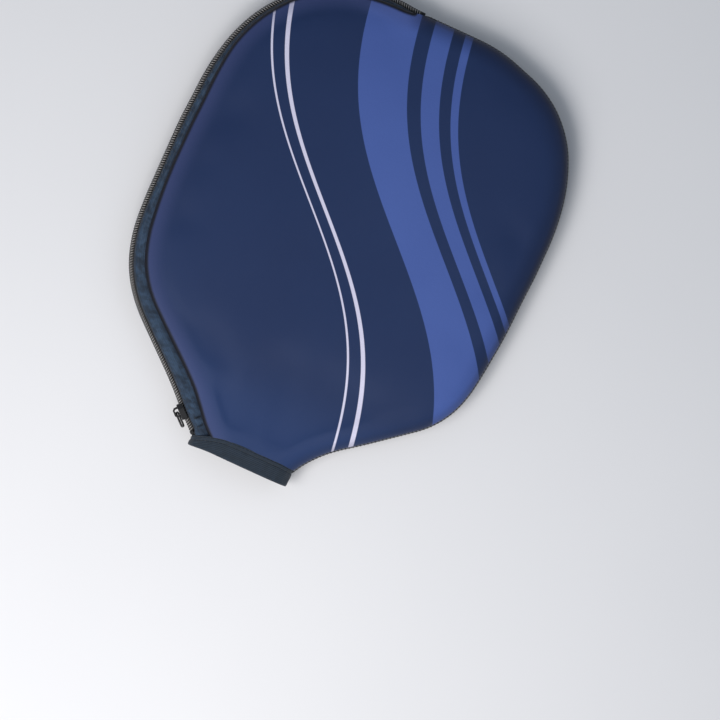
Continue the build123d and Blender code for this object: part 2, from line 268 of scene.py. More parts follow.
def tube(p, radius, sides=8, closed=False, squash=1.0):
    """A round tube along points p, in the points' own unit. radius may vary along it."""
    p = np.asarray(p, float)
    t, A, B = frames_along(p, closed)
    r = np.broadcast_to(np.asarray(radius, float), (len(p),))
    ang = np.arange(sides) * 2 * math.pi / sides
    v = p[:, None] + r[:, None, None] * (np.cos(ang)[None, :, None] * A[:, None] + squash * np.sin(ang)[None, :, None] * B[:, None])
    verts = v.reshape(-1, 3)
    faces = grid_faces(sides, len(p), wrap_u=True, wrap_v=closed).tolist()
    if not closed:
        faces.append(list(range(sides))[::-1])
        faces.append(list(range((len(p) - 1) * sides, len(p) * sides)))
    return verts, faces


def join(parts):
    verts, faces, n = [], [], 0
    for v, f in parts:
        verts.append(v)
        faces += [[i + n for i in g] for g in f]
        n += len(v)
    return np.vstack(verts), faces


def stitch_row(centre, direction, normal, length, radius, sides=6):
    """One stitch of thread that lies on a surface, its ends tucked in."""
    u = np.linspace(-1, 1, 7)
    lift = np.where(np.abs(u) > 0.95, -1.3, np.where(np.abs(u) > 0.6, -0.1, 0.35 + 0.15 * (1 - u * u)))
    p = centre + np.outer(u * length / 2, direction) + np.outer(lift * radius * 1.2, normal)
    r = radius * np.array([0.7, 0.95, 1, 1, 1, 0.95, 0.7])
    return tube(p, r, sides)


def stitches(points, normals, pitch, length, radius):
    """A row of stitches along points on a surface."""
    parts = []
    d = np.concatenate([[0], np.cumsum(np.linalg.norm(np.diff(points, axis=0), axis=1))])
    for c in np.arange(pitch / 2, d[-1] - pitch / 2, pitch):
        q = np.array([np.interp(c, d, points[:, i]) for i in range(3)])
        e = np.array([np.interp(c + 0.3, d, points[:, i]) - np.interp(c - 0.3, d, points[:, i]) for i in range(3)])
        e /= np.linalg.norm(e)
        m = np.array([np.interp(c, d, normals[:, i]) for i in range(3)])
        m -= e * (m @ e)
        m /= np.linalg.norm(m)
        parts.append(stitch_row(q, e, m, length, radius))
    return join(parts)


# ---------------------------------------------------------------------------
# Node helper for materials
# ---------------------------------------------------------------------------
class N:
    def __init__(self, name):
        self.mat = bpy.data.materials.new(name)
        self.mat.use_nodes = True
        self.t = self.mat.node_tree
        self.t.nodes.clear()
        self.out = self.t.nodes.new("ShaderNodeOutputMaterial")
        self.bsdf = self.t.nodes.new("ShaderNodeBsdfPrincipled")
        self.t.links.new(self.bsdf.outputs[0], self.out.inputs[0])

    def link(self, a, b):
        if isinstance(a, (int, float)):
            b.default_value = a
        elif isinstance(a, (tuple, list)):
            b.default_value = (*a, 1.0)[: len(b.default_value)]
        else:
            self.t.links.new(a, b)

    def math(self, op, a, b=0.0, c=None, clamp=False):
        n = self.t.nodes.new("ShaderNodeMath")
        n.operation, n.use_clamp = op, clamp
        self.link(a, n.inputs[0])
        self.link(b, n.inputs[1])
        if c is not None:
            self.link(c, n.inputs[2])
        return n.outputs[0]

    def attr(self, name):
        n = self.t.nodes.new("ShaderNodeAttribute")
        n.attribute_name = name
        return n.outputs["Vector"]

    def coord(self):
        return self.t.nodes.new("ShaderNodeTexCoord").outputs["Object"]

    def split(self, v):
        n = self.t.nodes.new("ShaderNodeSeparateXYZ")
        self.link(v, n.inputs[0])
        return n.outputs[0], n.outputs[1], n.outputs[2]

    def combine(self, x, y, z):
        n = self.t.nodes.new("ShaderNodeCombineXYZ")
        for i, a in enumerate((x, y, z)):
            self.link(a, n.inputs[i])
        return n.outputs[0]

    def noise(self, v, scale, detail=2.0, rough=0.5):
        n = self.t.nodes.new("ShaderNodeTexNoise")
        self.link(v, n.inputs["Vector"])
        n.inputs["Scale"].default_value = scale
        n.inputs["Detail"].default_value = detail
        n.inputs["Roughness"].default_value = rough
        return n.outputs[0]

    def voronoi(self, v, scale):
        n = self.t.nodes.new("ShaderNodeTexVoronoi")
        self.link(v, n.inputs["Vector"])
        n.inputs["Scale"].default_value = scale
        return n.outputs["Distance"]

    def ramp(self, x, lo, hi, a=0.0, b=1.0, smoothed=True):
        n = self.t.nodes.new("ShaderNodeMapRange")
        if smoothed:
            n.interpolation_type = "SMOOTHSTEP"
        self.link(x, n.inputs[0])
        for i, k in enumerate((lo, hi, a, b)):
            self.link(k, n.inputs[i + 1])
        return n.outputs[0]

    def mix(self, f, a, b):
        n = self.t.nodes.new("ShaderNodeMix")
        n.data_type = "RGBA"
        self.link(f, n.inputs[0])
        self.link(a, n.inputs[6])
        self.link(b, n.inputs[7])
        return n.outputs[2]

    def bump(self, h, strength, distance):
        n = self.t.nodes.new("ShaderNodeBump")
        n.inputs["Strength"].default_value = strength
        n.inputs["Distance"].default_value = distance
        self.link(h, n.inputs["Height"])
        self.t.links.new(n.outputs[0], self.bsdf.inputs["Normal"])

    def set(self, **k):
        for key, v in k.items():
            self.link(v, self.bsdf.inputs[key.replace("_", " ")])
        return self.mat


def hexc(h, gain=1.0):
    c = [int(h[i : i + 2], 16) / 255 for i in (1, 3, 5)]
    return tuple(gain * (x / 12.92 if x <= 0.04045 else ((x + 0.055) / 1.055) ** 2.4) for x in c)


def knit_height(n, x, y, wale, course):
    """Jersey knit: columns of small v shapes. x and y are in metres."""
    cx = n.math("DIVIDE", x, wale)
    f = n.math("ABSOLUTE", n.math("SUBTRACT", n.math("FRACT", cx), 0.5))          # 0 at the column's middle, .5 at its side
    yy = n.math("ADD", n.math("DIVIDE", y, course), n.math("MULTIPLY", f, 1.3))
    wave = n.math("ADD", n.math("MULTIPLY", n.math("SINE", n.math("MULTIPLY", yy, 2 * math.pi)), 0.5), 0.5)
    side = n.ramp(f, 0.5, 0.30)
    mid = n.ramp(f, 0.0, 0.10, 0.55, 1.0)
    return n.math("MULTIPLY", n.math("MULTIPLY", n.math("ADD", n.math("MULTIPLY", wave, 0.6), 0.4), side), mid)


# ---------------------------------------------------------------------------
# Materials
# ---------------------------------------------------------------------------
def neoprene_print():
    n = N("printed_neoprene")
    x, y, z = n.split(n.attr("rest"))                       # metres in the throat frame
    mmx, mmy = n.math("MULTIPLY", x, 1000.0), n.math("MULTIPLY", y, 1000.0)
    # broad parallel stripes that sweep across the face
    centre = n.math("MULTIPLY", n.math("TANH", n.math("DIVIDE", n.math("SUBTRACT", mmy, 152.0), 78.0)), -80.0)
    centre = n.math("ADD", centre, 12.0)
    off = n.math("SUBTRACT", mmx, centre)

    def band(lo, hi, soft=0.22):
        return n.math("MULTIPLY", n.ramp(off, lo - soft, lo + soft), n.ramp(off, hi - soft, hi + soft, 1.0, 0.0))

    wide = band(14.0, 46.0)
    wide = n.math("MAXIMUM", wide, band(55.0, 67.0))
    wide = n.math("MAXIMUM", wide, band(74.5, 79.5))
    thin = n.math("MAXIMUM", band(-34.0, -31.2), band(-43.2, -41.8))
    cloud = n.noise(n.combine(x, y, 0.0), 9.0, 3.0, 0.55)
    grain = n.noise(n.combine(x, y, 0.0), 900.0, 2.0, 0.6)
    navy = n.mix(cloud, hexc("#17294f"), hexc("#1f345d"))
    # painted light: the navy is painted paler towards the throat, where the face is lit more brightly
    navy = n.mix(n.ramp(y, 0.016, 0.060, 0.42, 0.0), navy, (0.0260, 0.0590, 0.178))
    indigo = n.mix(cloud, hexc("#41579a"), hexc("#4c66ab"))
    pale = hexc("#d4d3ea")
    col = n.mix(wide, navy, indigo)
    col = n.mix(thin, col, pale)
    knit = knit_height(n, x, y, 0.00064, 0.00048)
    dl, dr, _ = n.split(n.attr("edge"))
    # painted highlight: a paler purple sheen is painted where the sheet turns down at its zip-side rim
    rim_highlight = n.ramp(dl, 0.001, 0.014, 1.0, 0.0)
    col = n.mix(n.math("MULTIPLY", rim_highlight, 0.42), col, hexc("#47507f"))
    # the cut edge of the sheet is black foam, and the knit frays a little over it; the black is carried on up the
    # rolled rim as painted shade for the groove between the panel and the tape
    fray = n.math("MULTIPLY", n.math("SUBTRACT", n.noise(n.combine(x, y, z), 1400.0, 2.0), 0.5), 0.00035)
    cut_edge_and_groove_shade = n.ramp(n.math("ADD", dl, fray), 0.0014, 0.0032, 1.0, 0.0)
    col = n.mix(cut_edge_and_groove_shade, col, (0.006, 0.007, 0.011))
    # painted shade: the print is painted darker towards the seam, where the face rolls away from the light, more so
    # towards the crown
    high = n.ramp(y, 0.060, 0.170)
    seam_shade = n.math("MULTIPLY", n.ramp(n.math("ADD", dr, n.math("MULTIPLY", fray, 2.0)), 0.0006, 0.0060, 0.62, 0.0), n.math("ADD", n.math("MULTIPLY", high, 0.6), 0.4))
    seam_shade = n.math("MAXIMUM", seam_shade, n.math("MULTIPLY", n.ramp(dr, 0.0006, 0.0150, 0.26, 0.0), high))
    col = n.mix(seam_shade, col, (0.007, 0.009, 0.016))
    # painted shade in the grooves between the knit's columns, with random grain tone
    shade = n.math("ADD", n.math("MULTIPLY", knit, 0.22), n.math("ADD", n.math("MULTIPLY", grain, 0.16), 0.74))
    col = n.mix(shade, (0.004, 0.005, 0.010), col)
    n.bump(n.math("ADD", knit, n.math("MULTIPLY", grain, 0.3)), 0.35, 0.00022)
    rough = n.math("ADD", n.math("MULTIPLY", grain, 0.10), 0.46)
    return n.set(Base_Color=col, Roughness=rough, Sheen_Weight=0.07, Sheen_Roughness=0.4, Sheen_Tint=hexc("#8a86c0"), Specular_IOR_Level=0.20)


def neoprene_plain(name, tint, attr="rest"):
    n = N(name)
    x, y, z = n.split(n.attr(attr))
    knit = knit_height(n, x, y, 0.00095, 0.0007)
    grain = n.noise(n.combine(x, y, z), 700.0, 2.0, 0.6)
    cloud = n.noise(n.combine(x, y, z), 12.0, 3.0)
    col = n.mix(cloud, tuple(0.8 * c for c in tint), tuple(1.25 * c for c in tint))
    # painted shade in the grooves of the knit, with random grain tone
    col = n.mix(n.math("ADD", n.math("MULTIPLY", knit, 0.45), n.math("MULTIPLY", grain, 0.5)), tuple(0.35 * c for c in tint), col)
    n.bump(knit, 0.5, 0.0003)
    return n.set(Base_Color=col, Roughness=0.8, Sheen_Weight=0.12, Sheen_Roughness=0.5, Specular_IOR_Level=0.25)


def foam_edge():
    n = N("foam_edge")
    v = n.attr("rest")
    cell = n.voronoi(v, 2600.0)
    col = n.mix(cell, (0.006, 0.006, 0.007), (0.03, 0.03, 0.034))
    n.bump(cell, 0.8, 0.0003)
    return n.set(Base_Color=col, Roughness=0.9, Specular_IOR_Level=0.2)


def woven_tape():
    n = N("zip_tape")
    s, w, _ = n.split(n.attr("rest"))                       # along and across the tape, metres
    col_i = n.math("DIVIDE", w, 0.0011)
    f = n.math("FRACT", col_i)
    odd = n.math("GREATER_THAN", n.math("FRACT", n.math("MULTIPLY", n.math("FLOOR", col_i), 0.5)), 0.25)
    slant = n.math("MULTIPLY", n.math("SUBTRACT", n.math("MULTIPLY", odd, 2.0), 1.0), f)
    rib = n.math("FRACT", n.math("ADD", n.math("DIVIDE", s, 0.00072), slant))
    thread = n.math("SINE", n.math("MULTIPLY", rib, math.pi))
    groove = n.math("SINE", n.math("MULTIPLY", f, math.pi))
    h = n.math("MULTIPLY", thread, n.ramp(groove, 0.0, 0.45, 0.35, 1.0))
    mottle = n.ramp(n.noise(n.combine(s, w, 0.0), 190.0, 3.0, 0.65), 0.32, 0.68)
    cloud = n.noise(n.combine(s, w, 0.0), 35.0, 2.0)
    base = n.mix(mottle, hexc("#1c2c3f"), hexc("#3f5a78"))
    base = n.mix(n.math("MULTIPLY", cloud, 0.5), base, hexc("#21354a"))
    # painted shade: the tape is painted near black along its coil side, where it stands in the groove beside the teeth
    base = n.mix(n.ramp(w, 0.0032, 0.0056, 1.0, 0.0), base, (0.006, 0.008, 0.012))
    # painted shade between the woven threads
    col = n.mix(n.math("ADD", n.math("MULTIPLY", h, 0.65), 0.3), (0.006, 0.008, 0.012), base)
    n.bump(h, 0.7, 0.00025)
    return n.set(Base_Color=col, Roughness=0.6, Sheen_Weight=0.05, Specular_IOR_Level=0.3)


def coil_nylon():
    n = N("zip_coil")
    v = n.attr("rest")
    g = n.noise(v, 1500.0, 2.0)
    col = n.mix(g, (0.20, 0.192, 0.188), (0.36, 0.35, 0.34))
    # painted light and shade on the teeth: bright tops that face the light, dark sides and back row
    painted_tooth_light, _, _ = n.split(n.attr("painted_tooth_light"))
    col = n.mix(painted_tooth_light, (0.012, 0.012, 0.014), col)
    return n.set(Base_Color=col, Roughness=n.math("ADD", n.math("MULTIPLY", g, 0.12), 0.24), Specular_IOR_Level=0.7, Coat_Weight=0.4, Coat_Roughness=0.2)


def thread(name, colour, dark=0.35):
    n = N(name)
    v = n.coord()
    g = n.noise(v, 2600.0, 3.0, 0.6)
    col = n.mix(g, tuple(c * dark for c in colour), colour)
    n.bump(g, 0.5, 0.0002)
    return n.set(Base_Color=col, Roughness=0.6, Sheen_Weight=0.25, Specular_IOR_Level=0.4)


def gunmetal():
    n = N("dark_metal")
    v = n.coord()
    scratch = n.noise(v, 1800.0, 4.0, 0.7)
    worn = n.math("MULTIPLY", n.ramp(n.noise(v, 420.0, 3.0, 0.7), 0.60, 0.70), 0.45)
    col = n.mix(scratch, (0.004, 0.0045, 0.006), (0.011, 0.012, 0.014))
    col = n.mix(worn, col, (0.10, 0.10, 0.11))
    n.bump(scratch, 0.15, 0.00005)
    return n.set(Base_Color=col, Metallic=n.math("MULTIPLY", worn, 0.8), Roughness=n.math("ADD", n.math("MULTIPLY", scratch, 0.2), 0.30), Specular_IOR_Level=0.30)


def elastic():
    n = N("elastic_webbing")
    s, w, _ = n.split(n.attr("rest"))                       # round the throat, and along the handle
    rib = n.math("ABSOLUTE", n.math("SINE", n.math("MULTIPLY", w, math.pi / 0.00105)))
    pick = n.math("ABSOLUTE", n.math("SINE", n.math("MULTIPLY", s, math.pi / 0.00062)))
    h = n.math("MULTIPLY", n.math("ADD", n.math("MULTIPLY", rib, 0.6), 0.2), n.math("ADD", n.math("MULTIPLY", pick, 0.5), 0.5))
    g = n.noise(n.combine(s, w, 0.0), 300.0, 3.0, 0.6)
    base = n.mix(g, hexc("#182632"), hexc("#2e4258"))
    # painted shade in the dips between the ribs and picks
    col = n.mix(n.math("ADD", n.math("MULTIPLY", h, 0.8), 0.12), (0.005, 0.007, 0.009), base)
    n.bump(h, 0.8, 0.0004)
    return n.set(Base_Color=col, Roughness=0.66, Sheen_Weight=0.10, Specular_IOR_Level=0.3)


def bias():
    n = N("binding_tape")
    s, w, _ = n.split(n.attr("rest"))
    rib = n.math("ABSOLUTE", n.math("SINE", n.math("MULTIPLY", s, math.pi / 0.0009)))
    g = n.noise(n.combine(s, w, 0.0), 500.0, 2.0)
    # painted shade in the dips between the ribs, mixed with random tone
    col = n.mix(n.math("MULTIPLY", rib, g), (0.005, 0.005, 0.007), (0.026, 0.028, 0.036))
    n.bump(rib, 0.6, 0.0003)
    return n.set(Base_Color=col, Roughness=0.75, Sheen_Weight=0.2)


M_PRINT, M_EDGE, M_TAPE, M_COIL = neoprene_print(), foam_edge(), woven_tape(), coil_nylon()
M_BACK = neoprene_plain("plain_neoprene", (0.020, 0.022, 0.030))
M_LINING = neoprene_plain("lining_jersey", (0.016, 0.017, 0.020))
M_METAL, M_ELASTIC, M_BIAS = gunmetal(), elastic(), bias()
M_THREAD = thread("dark_thread", (0.022, 0.028, 0.038))
M_THREAD_LIGHT = thread("seam_thread", (0.30, 0.32, 0.38))
M_CORD = thread("coil_cord", (0.008, 0.009, 0.012))
M_TACK = thread("tack_thread", (0.020, 0.030, 0.045))


# ---------------------------------------------------------------------------
# Panels
# ---------------------------------------------------------------------------
NU, NV = 156, 190


def boundary(edge_in, rim):
    """Left, top, right and throat curves of a panel in the plane. edge_in is how far in its edge lies on the seam side."""
    # the corners of the patch are where the outline faces 48 degrees up
    ang_l = np.degrees(np.arctan2(LEFT.n[:, 1], -LEFT.n[:, 0]))
    s_l = LEFT.s[np.argmin(np.abs(ang_l - 48) + 1000 * (LEFT.s < 150))]
    ang_r = np.degrees(np.arctan2(RIGHT.n[:, 1], RIGHT.n[:, 0]))
    s_r = RIGHT.s[np.argmin(np.abs(ang_r - 48) + 1000 * (RIGHT.s < 150))]

    def left_out(s):
        return rim_at(s, rim) - edge_in * smooth(362, 380, s)

    def trimmed(path, s1, out_fn):
        s = np.linspace(-14, s1, 5000)
        p = path.at(s) + path.normal(s) * out_fn(s)[:, None]
        k = int(np.argmax(p[:, 1] >= throat_edge(p[:, 0])))
        p = p[k:].copy()
        p[0, 1] = throat_edge(p[0, 0])
        return p

    left = trimmed(LEFT, s_l, left_out)
    right = trimmed(RIGHT, s_r, lambda s: np.full(len(s), -edge_in))
    s = np.linspace(s_l, LEFT.end, 1500)
    top_a = LEFT.at(s) + LEFT.normal(s) * left_out(s)[:, None]
    s = np.linspace(RIGHT.end, s_r, 1500)
    top_b = RIGHT.at(s) - RIGHT.normal(s) * edge_in
    top = np.vstack([top_a, top_b[1:]])
    x = np.linspace(left[0, 0], right[0, 0], 300)
    throat = np.column_stack([x, throat_edge(x)])
    return left, top, right, throat


def resample(p, t):
    d = np.concatenate([[0], np.cumsum(np.linalg.norm(np.diff(p, axis=0), axis=1))])
    d /= d[-1]
    return np.stack([np.interp(t, d, p[:, i]) for i in range(p.shape[1])], -1)


def spread(n, lo, hi, total):
    """n parameters from 0 to 1 that crowd towards the ends: first gaps lo and hi in mm along a line of `total` mm."""
    x = np.linspace(0, 1, n)
    mid = total / (n * 0.80)
    g_lo = lo + (mid - lo) * smooth(0, 0.13, x) if lo < mid else np.full(n, mid)
    g_hi = hi + (mid - hi) * smooth(0, 0.13, 1 - x) if hi < mid else np.full(n, mid)
    g = np.minimum(g_lo, g_hi)[1:]
    t = np.concatenate([[0], np.cumsum(g)])
    return t / t[-1]


def coons(left, top, right, throat, u, v):
    L, R, T, B = resample(left, v), resample(right, v), resample(top, u), resample(throat, u)
    c00, c10, c01, c11 = left[0], right[0], left[-1], right[-1]
    uu, vv = u[None, :, None], v[:, None, None]
    P = (1 - vv) * B[None] + vv * T[None] + (1 - uu) * L[:, None] + uu * R[:, None]
    P -= (1 - uu) * (1 - vv) * c00 + uu * (1 - vv) * c10 + (1 - uu) * vv * c01 + uu * vv * c11
    return P


def distance(P, line):
    """Distance from each point of grid P to a polyline of close points."""
    flat = P.reshape(-1, 2)
    a, b = line[:-1], line[1:]
    d = b - a
    dd = (d * d).sum(1)
    few = line[::8]
    best = np.full(len(flat), 1e9)
    for k in range(0, len(flat), 8000):
        q = flat[k : k + 8000]
        near = 8 * np.argmin((few * few).sum(1)[None] - 2 * q @ few.T, axis=1)
        i = np.clip(near[:, None] + np.arange(-10, 11)[None], 0, len(a) - 1)
        rel = q[:, None] - a[i]
        t = np.clip((rel * d[i]).sum(2) / dd[i], 0, 1)
        e = rel - t[..., None] * d[i]
        best[k : k + 8000] = np.sqrt((e * e).sum(2)).min(1)
    return best.reshape(P.shape[:-1])


def lumps(x, y):
    """Slow undulations of a padded sheet, the same each run."""
    return (
        0.45 * np.sin(x / 31.0 + 0.7 + 0.9 * np.sin(y / 47.0)) * np.sin(y / 38.0 + 1.1)
        + 0.30 * np.sin((x + 0.6 * y) / 23.0 + 2.0) * np.cos((y - 0.4 * x) / 29.0)
        + 0.16 * np.sin((x - 0.8 * y) / 12.5 + 0.4)
    )


ROLL = 13.0
U, V = spread(NU, 0.25, 0.06, 217), spread(NV, 0.8, 0.07, 283)


def rim_line(rim):
    s = np.linspace(-14, 372, 900)
    return LEFT.at(s) + LEFT.normal(s) * rim_at(s, rim)[:, None]


ZIP_LINE = LEFT.at(np.linspace(-14, 372, 900))
RIGHT_LINE = RIGHT.at(np.linspace(-14, RIGHT.end, 900))


def quarter(d, r):
    """1 at the edge and 0 from r in: how far a rolled edge hangs below the face."""
    k = np.clip(1 - d / r, 0, 1)
    return 1 - np.sqrt(np.clip(1 - k * k, 0, 1))


def face(P, dl, dr):
    """The padded face: low along the zip, domed, and softly shouldered along the seam."""
    x, y = P[..., 0], P[..., 1]
    # nearer the zip's line the edge is pulled lower
    pulled = smooth(4.0, 0.0, np.maximum(distance(P, ZIP_LINE) - dl, 0))
    c = 21.3 - 0.5 * pulled * np.exp(-dl / 9.0)
    c = c + 3.5 * (1 - np.exp(-dl / 13.0)) * (1 - np.exp(-dr / 26.0)) + 0.25 * (1 - np.exp(-dl / 60.0))
    inward = (1 - np.exp(-dl / 16.0)) * (1 - np.exp(-dr / 16.0))
    return c - 0.45 * inward + 0.55 * lumps(x, y) * inward


def front_height(P, line, inner):
    dl, dr = distance(P, line), distance(P, RIGHT_LINE)
    x, y = P[..., 0], P[..., 1]
    c = face(P, dl, dr)
    if inner:
        return c - 2.9 - (c - 2.9 - 12.25) * quarter(np.maximum(dr - 2.9, 0), ROLL - 2.9)
    # fine puckers where the seam pulls the roll in, and where the zip's stitching pulls the edge
    near = np.exp(-(((dr - 6.0) / 5.0) ** 2))
    z = c - np.maximum(2.8 * quarter(dl, 3.0), (c - 12.25) * quarter(dr, ROLL))
    ripple = np.sin((y * 0.9 - x * 0.4) / 3.1) * np.sin((x + y) / 17.0)
    pull = np.exp(-(((dl - 4.0) / 4.0) ** 2)) * np.sin((y * 0.8 + x * 0.5) / 4.3 + 1.3 * np.sin(y / 21.0)) * np.sin(y / 37.0 + 0.5)
    return z + 0.10 * near * ripple + 0.09 * pull


def back_height(P, line, inner):
    dl, dr = distance(P, line), distance(P, RIGHT_LINE)
    if inner:
        return 2.9 + (11.75 - 2.9) * quarter(np.maximum(dr - 2.9, 0), ROLL - 2.9)
    return np.maximum(2.6 * quarter(dl, 3.2), 11.75 * quarter(dr, ROLL))


def rest_attr(verts_mm):
    return np.asarray(verts_mm, float) / 1000.0


def cubic(n, x):
    """Weights that carry n evenly spaced values on to the parameters x, along a smooth curve."""
    x = np.clip(np.asarray(x, float) * (n - 1), 0, n - 1 - 1e-9)
    i = x.astype(int)
    f = x - i
    w = np.zeros((len(x), n))
    parts = ((-f + 2 * f**2 - f**3) / 2, (2 - 5 * f**2 + 3 * f**3) / 2, (f + 4 * f**2 - 3 * f**3) / 2, (f**3 - f**2) / 2)
    for k, c in zip((-1, 0, 1, 2), parts):
        np.add.at(w, (np.arange(len(x)), np.clip(i + k, 0, n - 1)), c)
    return w


def cloth_shift(rim, nu=54, nv=68, frames=26):
    """Cloth simulation of the front sheet, sewn down all round: how far each point of the u, v grid settles, in mm."""
    u, v = np.linspace(0, 1, nu), np.linspace(0, 1, nv)
    P = coons(*boundary(0.0, rim), u, v)
    line = rim_line(rim)
    dl, dr = distance(P, line), distance(P, RIGHT_LINE)
    low = P[..., 1] - throat_edge(P[..., 0])
    z = front_height(P, line, False)
    start = np.dstack([P, z]).reshape(-1, 3)
    k = 0.01                                              # a sheet ten times as large suits the solver
    mesh = bpy.data.meshes.new("cloth_pass")
    mesh.from_pydata((start * k).tolist(), [], grid_faces(nu, nv).tolist())
    ob = bpy.data.objects.new("cloth_pass", mesh)
    scene = bpy.context.scene
    scene.collection.objects.link(ob)
    held = np.maximum(smooth(15.0, 8.0, np.minimum(dl, dr)), smooth(10.0, 4.0, low)).reshape(-1)
    group = ob.vertex_groups.new(name="sewn")
    for i, w in enumerate(held):
        if w > 0:
            group.add([i], float(w), "REPLACE")
    mod = ob.modifiers.new("cloth", "CLOTH")
    c = mod.settings
    c.quality, c.mass, c.air_damping = 7, 0.30, 2.0
    c.tension_stiffness = c.compression_stiffness = 18.0
    c.shear_stiffness, c.bending_stiffness = 8.0, 6.0
    c.vertex_group_mass = "sewn"
    c.pin_stiffness = 1.0
    c.shrink_min = -0.003
    c.use_pressure = True
    c.uniform_pressure_force = 0.35
    c.effector_weights.gravity = 0.1
    mod.point_cache.frame_start, mod.point_cache.frame_end = 1, frames
    for f in range(1, frames + 1):
        scene.frame_set(f)
    got = ob.evaluated_get(bpy.context.evaluated_depsgraph_get()).to_mesh()
    co = np.empty(len(got.vertices) * 3, dtype=np.float32)
    got.vertices.foreach_get("co", co)
    shift = co.reshape(-1, 3).astype(float) / k - start
    ob.evaluated_get(bpy.context.evaluated_depsgraph_get()).to_mesh_clear()
    bpy.data.objects.remove(ob)
    bpy.data.meshes.remove(mesh)
    scene.frame_set(1)
    shift = shift.reshape(nv, nu, 3)
    # how far a point may move, and not at all where it is sewn
    shift *= (1 - held.reshape(nv, nu, 1)) ** 0.5
    shift[..., :2] = 0.6 * np.tanh(shift[..., :2] / 0.6)
    shift[..., 2] = 1.5 * np.tanh(shift[..., 2] / 1.5)
    return shift


def build_panel(name, height, rim, flip, mats, shift=None):
    line = rim_line(rim)
    out_xy, in_xy = coons(*boundary(0.0, rim), U, V), coons(*boundary(2.9, rim), U, V)
    top = np.dstack([out_xy, height(out_xy, line, False)])
    under = np.dstack([in_xy, height(in_xy, line, True)])
    if shift is not None:
        a, b = cubic(shift.shape[1], U), cubic(shift.shape[0], V)
        moved = np.einsum("ai,ijk,bj->abk", b, shift, a)
        top, under = top + moved, under + moved
    verts, faces, index = slab(top, under)
    if flip:
        faces = faces[:, ::-1]
    # how far each point lies from the zip-side edge and from the seam, for the painted rim highlight, the cut edge with
    # its painted groove shade, and the painted seam shade
    edge = np.column_stack([distance(verts[None, :, :2], line)[0], distance(verts[None, :, :2], RIGHT_LINE)[0], np.zeros(len(verts))])
    return new_object(name, W(verts), faces, mats, index, 60.0, {"rest": rest_attr(verts), "edge": edge / 1000})


front_panel = build_panel("front_panel", front_height, RIM_TABLE, False, [M_PRINT, M_LINING, M_EDGE], cloth_shift(RIM_TABLE))
back_panel = build_panel("back_panel_shell", back_height, RIM_BACK, True, [M_BACK, M_LINING, M_EDGE])


# ---------------------------------------------------------------------------
# Zip tapes: a strip swept along the zip, with a woven face
# ---------------------------------------------------------------------------
def splay(s, o, z, upper):
    """The two rows part below the slider, and run in to the seam at the crown."""
    k = smooth(9.0, 3.0, s) * smooth(-7, 0, o)
    z = z + (0.45 if upper else -0.35) * k
    # the rows run in to the seam, but the tape's sewn side stays by its panel and keeps the crown closed
    run_in = smooth(364, 379, s) * smooth(2.5, -2.0, o) * smooth(-9.0, -4.5, o)
    return o + (-0.1 if upper else 0.45) * k + dive(s) * smooth(-8, 0, o), 12.0 + (z - 12.0) * (1 - 0.72 * run_in)


def wrinkles(s, o, upper):
    """Small puckers across the tape where it was eased round the curve."""
    across = np.exp(-(((o + 4.0) / 3.2) ** 2))
    k = 0.0 if upper else 2.1
    w = np.sin(s / 1.35 + 1.7 * np.sin(s / 11.0 + k) + 0.25 * o) * (0.5 + 0.5 * np.sin(s / 19.0 + 1.0 + k))
    w = w + 0.7 * np.sin(s / 3.7 + 0.5 * o + k) * np.sin(s / 29.0 + 0.3)
    crease = np.sin(s / 0.62 + 2.3 * np.sin(s / 7.0 + k) + 0.5 * o) * smooth(-0.2, 0.9, np.sin(s / 8.3 + 0.35 * o + k))
    return (0.15 * w + 0.12 * crease) * across


